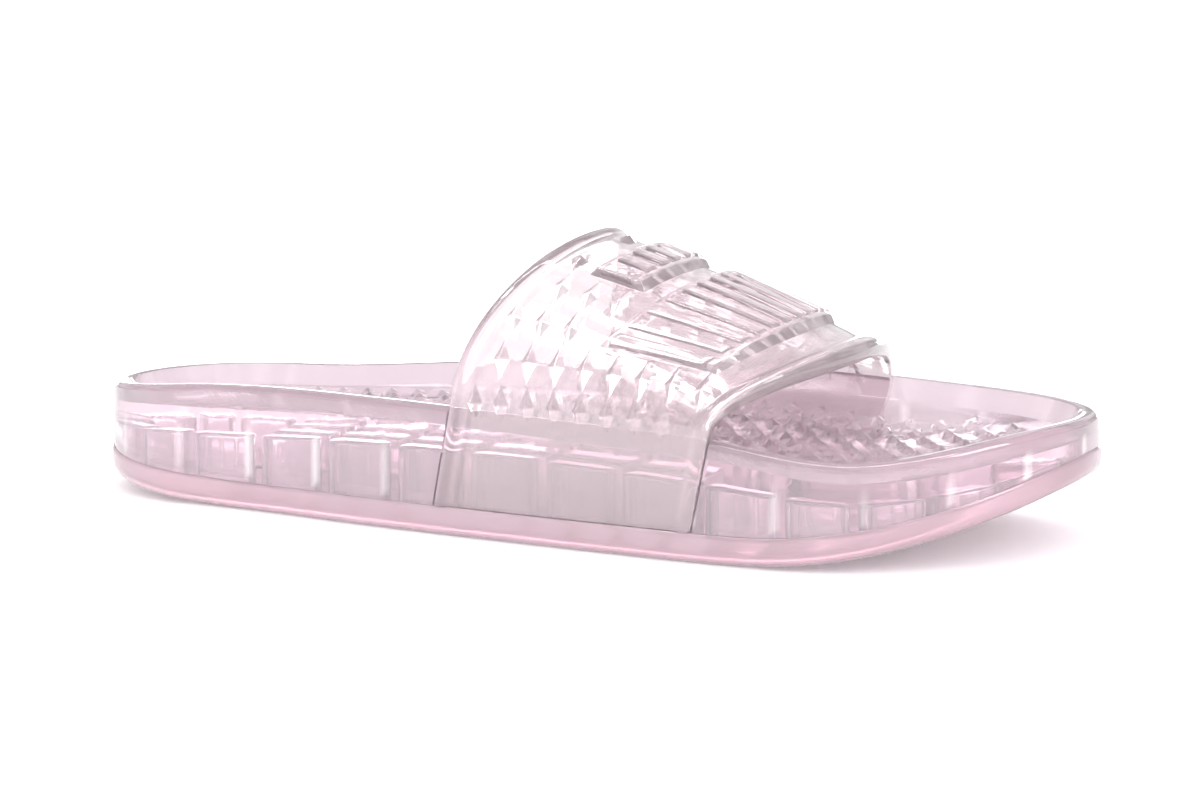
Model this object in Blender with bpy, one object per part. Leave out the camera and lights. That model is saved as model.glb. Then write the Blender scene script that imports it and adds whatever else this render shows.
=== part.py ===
"""Jelly slide sandal for the right foot: a moulded outsole, a midsole with its footbed, and a strap.

Metres, +Z up, toe towards +X, little-toe side towards -Y. The origin is the middle of the sole's
outline, on the floor. The pieces are first worked out from the back of the heel, where x is 0.
"""

import math

import bmesh
import bpy
import numpy as np
from mathutils import Matrix, Vector

# Sole outline, seen from above
LENGTH = 0.2588
BALL_WIDTH = 0.0925
HEEL_RADIUS = 0.036
TOE_REACH = 0.064
TOE_SWING = 0.013
LATERAL_TOE_FULLNESS = 2.1
MEDIAL_TOE_FULLNESS = 2.4

# Heights of the sole
RIM_HEIGHT = 0.0315
HEEL_LIFT = 0.0046
HEEL_LIFT_REACH = 0.060
TOE_SPRING = 0.0163
TOE_SPRING_REACH = 0.080
OUTSOLE_THICKNESS = 0.0072
OUTSOLE_TOE_THICKNESS = 0.0067
EDGE_ROUNDING = 0.0030
FLAT_INSET = 0.0120

# Side wall, rim and footbed of the midsole
LEDGE = 0.0006
SIDE_DRAFT = 0.0003
RIM_WIDTH = 0.0040
RIM_ROUNDING = 0.0016
RIM_SLOPE = 0.0030
RECESS_DEPTH = 0.0055
FOOTBED_THICKNESS = 0.0052

# Hollow cells moulded into the midsole from below. FIRST_RIB is a share of the pitch from the heel's middle
CELL_PITCH = 0.0208
FIRST_RIB = 0.5
RIB = 0.0030
CELL_WALL = 0.0060
CELL_DEPTH = 0.0110
CELL_LEAST_HEIGHT = 0.0022

# Strap
STRAP_HEIGHT = 0.0719
WALL = 0.0030
STRAP_SEAT = 0.0027
LEG_LEAN = 0.0045
CROWN_BULGE = 0.0012
BEAD_WIDTH = 0.0052
BEAD_RAISE = 0.0012
STUD_RAISE = 0.0014
STUD_LENGTH = 0.0042
STUD_HEIGHT = 0.0086
STUD_PITCH = 0.0076
STUD_ROW = 0.0112
PLATE_RAISE = 0.0018
BAR_RAISE = 0.0007
BAR_SINK = 0.0010

# Tread
GROOVE_WIDTH = 0.0026
GROOVE_DEPTH = 0.0014
GROOVE_PITCH = 0.0105
TREAD_MARGIN = 0.0110

# The gap that two pieces keep where they meet
CLEARANCE = 0.0003

# Stations are shares of LENGTH, half widths are shares of BALL_WIDTH, heights are shares of RIM_HEIGHT
SOLE_COLUMNS = ("station", "lateral", "medial", "rim_lateral", "rim_medial", "footbed")
SOLE_SECTIONS = (
    (0.000, 0.355, 0.355, 0.875, 0.865, 0.700),
    (0.175, 0.350, 0.366, 0.985, 0.890, 0.715),
    (0.370, 0.420, 0.374, 1.005, 1.010, 0.780),
    (0.540, 0.465, 0.418, 0.970, 1.020, 0.780),
    (0.700, 0.497, 0.470, 0.920, 1.070, 0.710),
    (0.850, 0.515, 0.493, 0.795, 1.000, 0.640),
    (1.000, 0.430, 0.455, 0.985, 0.965, 0.850),
)

# Stations are shares of LENGTH, crown is a share of BALL_WIDTH, height is a share of STRAP_HEIGHT.
# Fullness is the power of the arch: 2 is an ellipse and more is squarer.
EDGE_COLUMNS = ("lateral", "medial", "top", "crown", "height", "lateral_fullness", "medial_fullness")
REAR_EDGE = (0.446, 0.478, 0.527, 0.022, 1.000, 2.75, 2.05)
FRONT_EDGE = (0.714, 0.762, 0.798, 0.010, 0.655, 2.45, 1.75)
LEAN_POWER = 1.75

# The two raised plates: shares round the strap's arch and along the strap, and the bars on each
PLATE_COLUMNS = ("lateral", "medial", "rear", "front", "bars")
PLATES = (
    (0.33, 0.67, 0.170, 0.385, 7),
    (0.16, 0.84, 0.430, 0.850, 14),
)

# Where the strap's arch starts and the sole's tread lies, as shares of RIM_HEIGHT and LENGTH
SHOULDER = 0.97
HEEL_TREAD = (0.17, 0.36)
FOREFOOT_TREAD = (0.50, 0.84)


def smooth_step(share):
    share = np.clip(share, 0.0, 1.0)
    return share * share * (3.0 - 2.0 * share)


def section(column, x):
    """A column of SOLE_SECTIONS at the distance x from the heel, on a smooth curve through the rows."""
    stations = np.array([row[0] for row in SOLE_SECTIONS])
    values = np.array([row[SOLE_COLUMNS.index(column)] for row in SOLE_SECTIONS])
    slopes = np.gradient(values, stations)
    at = np.clip(np.asarray(x, float) / LENGTH, 0.0, 1.0)
    left = np.clip(np.searchsorted(stations, at, side="right") - 1, 0, len(stations) - 2)
    width = stations[left + 1] - stations[left]
    t = (at - stations[left]) / width
    return (
        values[left] * (1 + 2 * t) * (1 - t) ** 2
        + slopes[left] * width * t * (1 - t) ** 2
        + values[left + 1] * t * t * (3 - 2 * t)
        - slopes[left + 1] * width * t * t * (1 - t)
    )


def cap(x, toe_fullness):
    """How far the outline has closed in at the round heel and toe: 1 in between, 0 at both ends."""
    heel = np.clip(1.0 - np.asarray(x, float) / HEEL_RADIUS, 0.0, 1.0)
    toe = np.clip((x - (LENGTH - TOE_REACH)) / TOE_REACH, 0.0, 1.0)
    return np.sqrt(1.0 - heel**2) * (1.0 - toe**toe_fullness) ** (1.0 / toe_fullness)


def swing(x):
    """How far the toe end lies towards the big-toe side."""
    start = LENGTH - 1.4 * TOE_REACH
    return TOE_SWING * np.clip((x - start) / (LENGTH - start), 0.0, 1.0) ** 2


def lateral(x):
    """Distance of the little-toe side's edge from the X axis."""
    return section("lateral", x) * BALL_WIDTH * cap(x, LATERAL_TOE_FULLNESS) - swing(x)


def medial(x):
    """Distance of the big-toe side's edge from the X axis."""
    return section("medial", x) * BALL_WIDTH * cap(x, MEDIAL_TOE_FULLNESS) + swing(x)


def bottom(x):
    """Height of the sole's underside: flat, with a lifted heel and the toe spring."""
    heel = np.clip(1.0 - np.asarray(x, float) / HEEL_LIFT_REACH, 0.0, 1.0)
    toe = np.clip(1.0 - (LENGTH - np.asarray(x, float)) / TOE_SPRING_REACH, 0.0, 1.0)
    return HEEL_LIFT * heel**2 + TOE_SPRING * toe**2.5


def outsole_top(x):
    """Height of the ledge, where the midsole and the strap's feet stand."""
    toe = smooth_step((np.asarray(x, float) - 0.62 * LENGTH) / (0.38 * LENGTH))
    return bottom(x) + OUTSOLE_THICKNESS + (OUTSOLE_TOE_THICKNESS - OUTSOLE_THICKNESS) * toe


def side_share(x, y):
    """0 at the little-toe side, 1 at the big-toe side."""
    middle = (medial(x) - lateral(x)) / 2
    return smooth_step(0.5 + (y - middle) / (0.8 * BALL_WIDTH))


def rim(x, y):
    """Height of the midsole's rim."""
    share = side_share(x, y)
    return RIM_HEIGHT * (section("rim_lateral", x) * (1 - share) + section("rim_medial", x) * share)


def footbed(x, y, spread):
    """Height of the footbed: spread is 0 along its middle and 1 where it meets the rim's slope."""
    edge = rim(x, y) - RECESS_DEPTH
    middle = RIM_HEIGHT * section("footbed", x)
    return middle + (edge - middle) * spread**2.2


def outline(count=720):
    """The sole's outline from the back of the heel round the little-toe side, counter-clockwise."""
    x = LENGTH * (1.0 - np.cos(np.linspace(0.0, math.pi, count // 2 + 1))) / 2
    near = np.column_stack([x, -lateral(x)])
    far = np.column_stack([x[::-1], medial(x[::-1])])
    return np.vstack([near[:-1], far[:-1]])


def along(points, distances):
    """Points of a closed line at these distances along it."""
    closed = np.vstack([points, points[:1]])
    reach = np.concatenate([[0.0], np.cumsum(np.linalg.norm(np.diff(closed, axis=0), axis=1))])
    at = np.mod(distances, reach[-1])
    return np.column_stack([np.interp(at, reach, closed[:, i]) for i in range(closed.shape[1])])


def perimeter(points):
    return float(np.linalg.norm(np.roll(points, -1, axis=0) - points, axis=1).sum())


def cells_round():
    return max(12, round(perimeter(outline()) / CELL_PITCH))


def cell_points():
    """Outline points: for each cell its rib's start and end and the middle of the cell."""
    edge = outline()
    pitch = perimeter(edge) / cells_round()
    starts = pitch * (FIRST_RIB + np.arange(cells_round()))
    offsets = np.array([-RIB / 2, RIB / 2, pitch / 2])
    return along(edge, (starts[:, None] + offsets).ravel())


def spine_points(edge):
    """For each outline point, the point of the sole's middle line that it is measured towards."""
    x = np.clip(edge[:, 0], HEEL_RADIUS, LENGTH - TOE_REACH)
    return np.column_stack([x, (medial(x) - lateral(x)) / 2])


def inward(edge, distance=0.0, share=0.0):
    """The outline moved in by a distance, and then by a share of what is left to the middle line."""
    spine = spine_points(edge)
    way = spine - edge
    length = np.linalg.norm(way, axis=1)[:, None]
    first = np.minimum(distance / length, 0.8)
    return edge + way * (first + (1.0 - first) * share)


def ring(flat, height):
    """A ring of points from a flat outline and a function of x and y, or an array, for the height."""
    z = height(flat[:, 0], flat[:, 1]) if callable(height) else height
    return np.column_stack([flat, z])


def stand_rings(edge, gap):
    """Rings where midsole and outsole meet, from the middle out, this far above the outsole's top."""
    inner = CELL_WALL + CELL_DEPTH + RIB
    places = ((inner, 0.80), (inner, 0.0), (CELL_WALL + CELL_DEPTH, 0.0), (CELL_WALL, 0.0), (LEDGE, 0.0))
    rings = []
    for distance, share in places:
        flat = inward(edge, distance, share)
        rings.append(ring(flat, outsole_top(flat[:, 0]) + gap))
    return rings


def bridge(mesh, lower, upper, closed=True):
    """Quads between two rows of vertices, and returns them."""
    count = len(lower)
    faces = []
    for i in range(count if closed else count - 1):
        j = (i + 1) % count
        faces.append(mesh.faces.new((lower[i], lower[j], upper[j], upper[i])))
    return faces


def rings_to_mesh(rings):
    """A closed bmesh through rings that run from the middle below, round the edge, to the middle above."""
    mesh = bmesh.new()
    rows = [[mesh.verts.new(point) for point in points] for points in rings]
    bands = [bridge(mesh, lower, upper) for lower, upper in zip(rows, rows[1:])]
    mesh.faces.new(list(reversed(rows[0])))
    mesh.faces.new(rows[-1])
    return mesh, bands


def plastic(name, colour, roughness):
    """Soft see-through PVC of one tint."""
    material = bpy.data.materials.new(name)
    material.use_nodes = True
    shader = material.node_tree.nodes["Principled BSDF"]
    shader.inputs["Base Color"].default_value = (*colour, 1.0)
    shader.inputs["Roughness"].default_value = roughness
    shader.inputs["Metallic"].default_value = 0.0
    shader.inputs["Transmission Weight"].default_value = 0.6
    shader.inputs["IOR"].default_value = 1.53
    material.diffuse_color = (*colour, 1.0)
    return material


def finish(name, mesh, material=None, triangles=True):
    """Turns a bmesh into an object whose origin is the middle of the sole."""
    bmesh.ops.recalc_face_normals(mesh, faces=mesh.faces)
    if triangles:
        bmesh.ops.triangulate(mesh, faces=mesh.faces, quad_method="SHORT_EDGE", ngon_method="BEAUTY")
    data = bpy.data.meshes.new(name)
    mesh.to_mesh(data)
    mesh.free()
    item = bpy.data.objects.new(name, data)
    bpy.context.scene.collection.objects.link(item)
    item.location = -sole_middle()
    if material:
        data.materials.append(material)
        data.shade_smooth()
        data.set_sharp_from_angle(angle=math.radians(35))
    else:
        item.hide_render = True
        item.display_type = "WIRE"
    return item


def sole_middle():
    """The middle of the outline's box, which is the part's origin."""
    edge = outline()
    low, high = edge.min(axis=0), edge.max(axis=0)
    return Vector(((low[0] + high[0]) / 2, (low[1] + high[1]) / 2, 0.0))


def combine(item, cutter, operation):
    """A Boolean modifier that joins or cuts item with cutter."""
    modifier = item.modifiers.new(operation.title(), "BOOLEAN")
    modifier.operation = operation
    modifier.solver = "EXACT"
    modifier.object = cutter


def make_outsole(material):
    """The tinted bottom layer: a plate with a round lower edge, a ledge all round and a tread."""
    edge = cell_points()
    underside = bottom(edge[:, 0])
    ledge = outsole_top(edge[:, 0])
    side = (ledge - underside)[:, None]

    def level(distance, share, heights):
        flat = inward(edge, distance, share)
        return ring(flat, heights(flat[:, 0]))

    rings = [
        level(FLAT_INSET, 0.75, bottom),
        level(FLAT_INSET, 0.0, bottom),
        level(EDGE_ROUNDING, 0.0, bottom),
        level(0.30 * EDGE_ROUNDING, 0.0, bottom) + side * (0, 0, 0.10),
        level(0.06 * EDGE_ROUNDING, 0.0, bottom) + side * (0, 0, 0.27),
        ring(edge, underside) + side * (0, 0, 0.55),
        ring(edge, underside) + side * (0, 0, 0.90),
        ring(inward(edge, 0.5 * LEDGE), ledge),
    ]
    mesh, _ = rings_to_mesh(rings + stand_rings(edge, 0.0)[::-1])
    item = finish("outsole", mesh, material)
    combine(item, make_tread_cutter(), "DIFFERENCE")
    return item


def tread_stations():
    """Middles of the tread's cross grooves, at the heel and under the forefoot."""
    stations = []
    for start, end in (HEEL_TREAD, FOREFOOT_TREAD):
        count = max(2, round((end - start) * LENGTH / GROOVE_PITCH))
        stations += list(np.linspace(start, end, count) * LENGTH)
    return stations


def make_tread_cutter():
    """One slanted bar for each cross groove, ending short of the sole's edge."""
    mesh = bmesh.new()
    for x in tread_stations():
        low, high = -float(lateral(x)) + TREAD_MARGIN, float(medial(x)) - TREAD_MARGIN
        slope = math.atan(float(bottom(x + 0.001) - bottom(x - 0.001)) / 0.002)
        made = bmesh.ops.create_cube(mesh, size=1.0)["verts"]
        bmesh.ops.scale(mesh, vec=(GROOVE_WIDTH, high - low, 2 * GROOVE_DEPTH), verts=made)
        bmesh.ops.rotate(mesh, matrix=Matrix.Rotation(-slope, 3, "Y"), verts=made)
        bmesh.ops.translate(mesh, vec=(x, (low + high) / 2, float(bottom(x))), verts=made)
    return finish("tread_cutter", mesh, triangles=False)


def cell_ceiling(x, y):
    """Height of the roof of the hollow cells, below the footbed or the rim."""
    roof = footbed(x, y, 0.5) - FOOTBED_THICKNESS
    return np.maximum(roof, outsole_top(x) + CLEARANCE + CELL_LEAST_HEIGHT)


def make_midsole(material):
    """Side wall, rim and footbed in one moulding, hollow below between ribs."""
    edge = cell_points()
    top = rim(edge[:, 0], edge[:, 1])

    def bed(spread, share):
        flat = inward(edge, LEDGE + SIDE_DRAFT + RIM_WIDTH + RIM_SLOPE, share)
        return ring(flat, footbed(flat[:, 0], flat[:, 1], spread))

    draft = LEDGE + SIDE_DRAFT
    rings = stand_rings(edge, CLEARANCE) + [
        ring(inward(edge, draft), top - RIM_ROUNDING),
        ring(inward(edge, draft + 0.3 * RIM_ROUNDING), top - 0.3 * RIM_ROUNDING),
        ring(inward(edge, draft + RIM_ROUNDING), top),
        ring(inward(edge, draft + RIM_WIDTH), top - 0.1 * RIM_ROUNDING),
        bed(1.0, 0.0),
        bed(0.68, 0.28),
        bed(0.36, 0.58),
        bed(0.12, 0.84),
    ]
    mesh, bands = rings_to_mesh(rings)
    carve_cells(mesh, bands[0], bands[2], edge)
    item = finish("midsole", mesh, material)
    combine(item, strap_seat_cutter(), "DIFFERENCE")
    return item


def carve_cells(mesh, inner, outer, edge):
    """Pushes the cells' faces up into the midsole. Every third face is a rib and stays."""
    straight = (edge[:, 0] > HEEL_RADIUS) & (edge[:, 0] < LENGTH - TOE_REACH)
    whole = [
        all(straight[(3 * (i // 3) + step) % len(edge)] for step in (1, 2, 3)) for i in range(len(edge))
    ]
    cells = [face for i, face in enumerate(outer) if i % 3]
    cells += [face for i, face in enumerate(inner) if i % 3 and whole[i]]
    raised = bmesh.ops.extrude_face_region(mesh, geom=cells)["geom"]
    for item in raised:
        if isinstance(item, bmesh.types.BMVert):
            item.co.z = float(cell_ceiling(item.co.x, item.co.y))
    bmesh.ops.delete(mesh, geom=cells, context="FACES")


def edge_value(column, along_strap):
    """A column of the strap's two edges, between the rear edge at 0 and the front edge at 1."""
    at = EDGE_COLUMNS.index(column)
    return REAR_EDGE[at] + (FRONT_EDGE[at] - REAR_EDGE[at]) * along_strap


def strap_line(along_strap, out, steps=(10, 90)):
    """The strap's line over the foot at one place along it, out from its inner face, foot to foot."""
    leg_steps, arch_steps = steps
    shoulder = SHOULDER * RIM_HEIGHT
    inset = LEDGE + SIDE_DRAFT + STRAP_SEAT - out
    crown = edge_value("crown", along_strap) * BALL_WIDTH
    bulge = CROWN_BULGE * 4 * along_strap * (1 - along_strap)
    top = edge_value("height", along_strap) * STRAP_HEIGHT + bulge - BEAD_RAISE - WALL + out
    top_station = edge_value("top", along_strap) * LENGTH
    angle = np.linspace(0.0, math.pi / 2, arch_steps // 2 + 1)
    sides = []
    for side, half_width, sign in (("lateral", lateral, -1), ("medial", medial, 1)):
        station = edge_value(side, along_strap) * LENGTH
        fullness = edge_value(side + "_fullness", along_strap)
        across, rise = np.cos(angle) ** (2 / fullness), np.sin(angle) ** (2 / fullness)
        across[-1] = 0.0
        base = sign * (float(half_width(station)) - inset)
        arch = np.column_stack(
            [
                top_station + (station - top_station) * (1 - rise**LEAN_POWER),
                crown + (base - crown) * across,
                shoulder + (top - shoulder) * rise,
            ]
        )
        foot = float(outsole_top(station - LEG_LEAN)) + CLEARANCE
        fall = np.linspace(1.0, 0.0, leg_steps, endpoint=False)
        x = station - LEG_LEAN * fall
        leg = np.column_stack([x, sign * (half_width(x) - inset), shoulder + (foot - shoulder) * fall])
        sides.append(np.vstack([leg, arch]))
    return np.vstack([sides[0], sides[1][-2::-1]])


def strap_shares(count, steps=(10, 90)):
    """Evenly spaced places round the strap, as positions in strap_line's points, and the arch's ends."""
    line = strap_line(0.5, WALL, steps)
    reach = np.concatenate([[0.0], np.cumsum(np.linalg.norm(np.diff(line, axis=0), axis=1))])
    return np.interp(np.linspace(0.0, reach[-1], count), reach, np.arange(len(line)))


def on_strap(arch_share, along_strap, out):
    """A point of the strap: arch_share runs over the arch from the little-toe shoulder to the other."""
    line = strap_line(along_strap, out)
    outer = strap_line(along_strap, WALL)
    legs = 10
    arch = outer[legs : len(outer) - legs]
    reach = np.concatenate([[0.0], np.cumsum(np.linalg.norm(np.diff(arch, axis=0), axis=1))])
    at = legs + np.interp(arch_share * reach[-1], reach, np.arange(len(arch)))
    return Vector([float(np.interp(at, np.arange(len(line)), line[:, i])) for i in range(3)])


def arch_length(along_strap):
    """Length of the strap's outer face over the arch."""
    arch = strap_line(along_strap, WALL)[10:-10]
    return float(np.linalg.norm(np.diff(arch, axis=0), axis=1).sum())


def strap_length():
    """Length of the strap from its rear edge to its front edge, along the top."""
    return (on_strap(0.5, 1.0, WALL) - on_strap(0.5, 0.0, WALL)).length


def strap_profile():
    """The strap cut along the foot: places along it, and how far out each is from the inner face."""
    bead, length = BEAD_WIDTH, strap_length()
    full = WALL + BEAD_RAISE
    rear = [
        (0.0, 0.55 * full),
        (0.10 * bead, 0.88 * full),
        (0.32 * bead, full),
        (0.62 * bead, full - 0.25 * BEAD_RAISE),
        (bead, WALL),
    ]
    field = [(length * share, WALL) for share in (0.22, 0.36, 0.5, 0.64, 0.78)]
    front = [(length - place, out) for place, out in reversed(rear)]
    inner = [(length - 0.10 * bead, 0.10 * WALL), (length - 0.4 * bead, 0.0)]
    inner += [(length * share, 0.0) for share in (0.72, 0.5, 0.28)]
    inner += [(0.4 * bead, 0.0), (0.10 * bead, 0.10 * WALL)]
    return [(place / length, out) for place, out in rear + field + front + inner]


def make_strap(material):
    """The upper: one moulded wall over the foot, with beaded edges, studs and a plain raised plate."""
    places = strap_shares(45)
    mesh = bmesh.new()
    lines = []
    for along_strap, out in strap_profile():
        line = strap_line(along_strap, out)
        lines.append(
            np.column_stack([np.interp(places, np.arange(len(line)), line[:, i]) for i in range(3)])
        )
    loops = np.transpose(np.array(lines), (1, 0, 2))
    rows = [[mesh.verts.new(point) for point in loop] for loop in loops]
    for lower, upper in zip(rows, rows[1:]):
        bridge(mesh, lower, upper)
    mesh.faces.new(list(reversed(rows[0])))
    mesh.faces.new(rows[-1])
    item = finish("strap", mesh, material)
    combine(item, make_studs(), "UNION")
    for number, row in enumerate(PLATES):
        plate = dict(zip(PLATE_COLUMNS, row))
        combine(item, make_plate(number, plate), "UNION")
        combine(item, make_bars(number, plate), "UNION")
    return item


def strap_seat_cutter():
    """The strap's legs with clearance all round, cut from the midsole's sides so that they sit in it."""
    places = strap_shares(45)
    margin = CLEARANCE / strap_length()
    mesh = bmesh.new()
    profile = [(-margin, -CLEARANCE), (-margin, 3 * WALL), (1 + margin, 3 * WALL), (1 + margin, -CLEARANCE)]
    middle = [(share, -CLEARANCE) for share in (0.72, 0.5, 0.28)]
    lines = []
    for along_strap, out in profile + middle:
        line = strap_line(along_strap, out)
        shifted = np.column_stack([np.interp(places, np.arange(len(line)), line[:, i]) for i in range(3)])
        lines.append(shifted)
    loops = np.transpose(np.array(lines), (1, 0, 2))
    drop = np.array([0, 0, 4 * CLEARANCE + OUTSOLE_THICKNESS])
    loops = np.concatenate([[loops[0] - drop], loops, [loops[-1] - drop]])
    rows = [[mesh.verts.new(point) for point in loop] for loop in loops]
    for lower, upper in zip(rows, rows[1:]):
        bridge(mesh, lower, upper)
    mesh.faces.new(list(reversed(rows[0])))
    mesh.faces.new(rows[-1])
    return finish("strap_seat_cutter", mesh)


def stud_places():
    """Centres of the studs as shares round the arch and along the strap, in staggered rows."""
    length, arch = strap_length(), arch_length(0.0)
    rows = max(3, round(arch / STUD_ROW))
    first = (BEAD_WIDTH + 0.6 * STUD_LENGTH) / length
    pitch = STUD_PITCH / length
    places = []
    for row, share in enumerate(np.linspace(0.25 / rows, 1 - 0.25 / rows, rows)):
        along_strap = first + (0.5 * pitch if row % 2 else 0.0)
        while along_strap < 1 - first:
            if not on_plate(share, along_strap):
                places.append((share, along_strap))
            along_strap += pitch
    return places


def on_plate(share, along_strap):
    """Whether a stud there would touch one of the raised plates."""
    round_margin = 0.6 * STUD_HEIGHT / arch_length(0.5)
    along_margin = 0.7 * STUD_LENGTH / strap_length()
    for row in PLATES:
        plate = dict(zip(PLATE_COLUMNS, row))
        beside = plate["lateral"] - round_margin < share < plate["medial"] + round_margin
        level = plate["rear"] - along_margin < along_strap < plate["front"] + along_margin
        if beside and level:
            return True
    return False


def make_studs():
    """Pointed studs: a rhombus on the strap's outer face, long way round the foot, with a raised tip."""
    mesh = bmesh.new()
    for share, along_strap in stud_places():
        up = 0.5 * STUD_HEIGHT / arch_length(along_strap)
        across = 0.5 * STUD_LENGTH / strap_length()
        sunk = WALL - 0.2 * STUD_RAISE
        corners = [
            on_strap(share, along_strap - across, sunk),
            on_strap(share - up, along_strap, sunk),
            on_strap(share, along_strap + across, sunk),
            on_strap(share + up, along_strap, sunk),
        ]
        tip = on_strap(share, along_strap, WALL + STUD_RAISE)
        root = on_strap(share, along_strap, 0.5 * WALL)
        around = [mesh.verts.new(corner) for corner in corners]
        tip, root = mesh.verts.new(tip), mesh.verts.new(root)
        for i in range(4):
            mesh.faces.new((around[i], around[(i + 1) % 4], tip))
            mesh.faces.new((around[(i + 1) % 4], around[i], root))
    return finish("stud_joiner", mesh, triangles=False)


def raised_patch(mesh, shares, places, low, high, bevel):
    """A pad on the strap between two shares round the arch and two places along it, with sloping sides."""
    count_round = 2 + max(1, round((shares[1] - shares[0]) * 24))
    count_along = 3 + round((places[1] - places[0]) * 6)
    across = bevel / arch_length(0.5)
    length = bevel / strap_length()

    def layer(out, shrink):
        rows = []
        for share in np.linspace(shares[0] + shrink * across, shares[1] - shrink * across, count_round):
            ends = (places[0] + shrink * length, places[1] - shrink * length)
            rows.append([mesh.verts.new(on_strap(share, at, out)) for at in np.linspace(*ends, count_along)])
        return rows

    base, top = layer(low, 0.0), layer(high, 1.0)
    for rows in (base, top):
        for lower, upper in zip(rows, rows[1:]):
            bridge(mesh, lower, upper, closed=False)

    def border(rows):
        left = [row[0] for row in rows[1:-1]]
        right = [row[-1] for row in rows[1:-1]]
        return list(reversed(left)) + rows[0] + right + list(reversed(rows[-1]))

    bridge(mesh, border(base), border(top))


def make_plate(number, plate):
    """A low plate on top of the strap, which carries bars."""
    mesh = bmesh.new()
    shares, places = (plate["lateral"], plate["medial"]), (plate["rear"], plate["front"])
    raised_patch(mesh, shares, places, WALL - BAR_SINK, WALL + PLATE_RAISE, 1.2 * PLATE_RAISE)
    return finish(f"plate_joiner_{number}", mesh)


def make_bars(number, plate):
    """The plain bars of one plate, side by side, along the foot."""
    mesh = bmesh.new()
    step = (plate["medial"] - plate["lateral"]) / plate["bars"]
    margin = 2 * PLATE_RAISE / strap_length()
    places = (plate["rear"] + margin, plate["front"] - margin)
    for bar in range(plate["bars"]):
        middle = plate["lateral"] + (bar + 0.5) * step
        shares = (middle - 0.36 * step, middle + 0.36 * step)
        low, high = WALL + PLATE_RAISE - BAR_SINK, WALL + PLATE_RAISE + BAR_RAISE
        raised_patch(mesh, shares, places, low, high, 0.5 * BAR_RAISE)
    return finish(f"bar_joiner_{number}", mesh)


def main():
    for item in list(bpy.data.objects):
        bpy.data.objects.remove(item, do_unlink=True)
    make_outsole(plastic("deep_pink_pvc", (0.86, 0.62, 0.70), 0.18))
    make_midsole(plastic("pale_pink_pvc", (0.92, 0.78, 0.84), 0.12))
    make_strap(plastic("clear_pink_pvc", (0.95, 0.86, 0.89), 0.08))


main()
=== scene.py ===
# %% [markdown]
# # A see-through jelly slide
#
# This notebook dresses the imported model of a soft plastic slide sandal. The solids give every place and
# size. Here the three mouldings get smooth skins, fine relief and see-through plastic, then light and a
# camera. Everything is in metres: +X is the toe, +Z is up, and the big-toe side is +Y.

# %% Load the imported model
import math

import bmesh
import bpy
import numpy as np
from mathutils import Matrix, Vector


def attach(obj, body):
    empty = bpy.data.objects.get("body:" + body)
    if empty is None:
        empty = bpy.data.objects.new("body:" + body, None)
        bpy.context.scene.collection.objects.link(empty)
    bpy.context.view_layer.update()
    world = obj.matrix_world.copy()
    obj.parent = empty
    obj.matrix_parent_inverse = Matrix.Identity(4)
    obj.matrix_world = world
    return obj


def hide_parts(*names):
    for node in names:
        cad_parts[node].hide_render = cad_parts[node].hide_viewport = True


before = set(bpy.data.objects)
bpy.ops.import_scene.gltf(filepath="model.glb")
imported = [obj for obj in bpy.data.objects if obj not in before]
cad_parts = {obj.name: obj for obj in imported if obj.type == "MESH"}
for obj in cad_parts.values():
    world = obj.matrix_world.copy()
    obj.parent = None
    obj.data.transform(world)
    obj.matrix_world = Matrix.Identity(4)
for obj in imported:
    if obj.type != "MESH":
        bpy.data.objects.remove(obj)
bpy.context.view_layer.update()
print("solids to dress:", ", ".join(sorted(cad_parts)))

# %% [markdown]
# ## Camera
#
# The photo was taken with a long lens from a little above the floor, on the little-toe side and ahead of
# the toe. A camera could be turned by hand until the outline fits. Here its place was worked out from the
# outline once, so it is written down and simply aimed at the middle of the shoe.

# %% Place the camera
CAMERA_PLACE = Vector((0.3384, -0.7253, 0.1561))
CAMERA_AIM = Vector((0.0079, -0.002, 0.0290))
LENS_MM = 98.0

bpy.ops.object.camera_add(location=CAMERA_PLACE)
camera = bpy.context.object
camera.rotation_euler = (CAMERA_AIM - CAMERA_PLACE).to_track_quat("-Z", "Y").to_euler()
camera.data.lens = LENS_MM
camera.data.sensor_width = 36.0
bpy.context.scene.camera = camera
print("camera stands", round((CAMERA_PLACE - CAMERA_AIM).length, 3), "m from the shoe")

# %% [markdown]
# ## Sizes
#
# A moulding is drawn from a few sizes and a table of cross-sections along the foot. The solids were made
# from these same numbers, so the smooth skins lie exactly where the solids are. Stations are shares of
# the sole's length, half widths are shares of the ball width and heights are shares of the rim height.

# %% Sizes of the sole and the strap
LENGTH = 0.2588
BALL_WIDTH = 0.0925
HEEL_RADIUS = 0.036
TOE_REACH = 0.064
TOE_SWING = 0.013
LATERAL_TOE_FULLNESS = 2.1
MEDIAL_TOE_FULLNESS = 2.4
RIM_HEIGHT = 0.0315
HEEL_LIFT = 0.0046
HEEL_LIFT_REACH = 0.060
TOE_SPRING = 0.0163
TOE_SPRING_REACH = 0.080
OUTSOLE_THICKNESS = 0.0072
OUTSOLE_TOE_THICKNESS = 0.0067
EDGE_ROUNDING = 0.0030
LEDGE = 0.0006
SIDE_DRAFT = 0.0003
RIM_WIDTH = 0.0040
RIM_ROUNDING = 0.0016
RIM_SLOPE = 0.0030
RECESS_DEPTH = 0.0055
FLAT_INSET = 0.0120
FOOTBED_THICKNESS = 0.0052
CELL_PITCH = 0.0208
FIRST_RIB = 0.5
RIB = 0.0030
CELL_WALL = 0.0060
CELL_DEPTH = 0.0110
CELL_LEAST_HEIGHT = 0.0022
STRAP_HEIGHT = 0.0719
WALL = 0.0030
STRAP_SEAT = 0.0027
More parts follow.
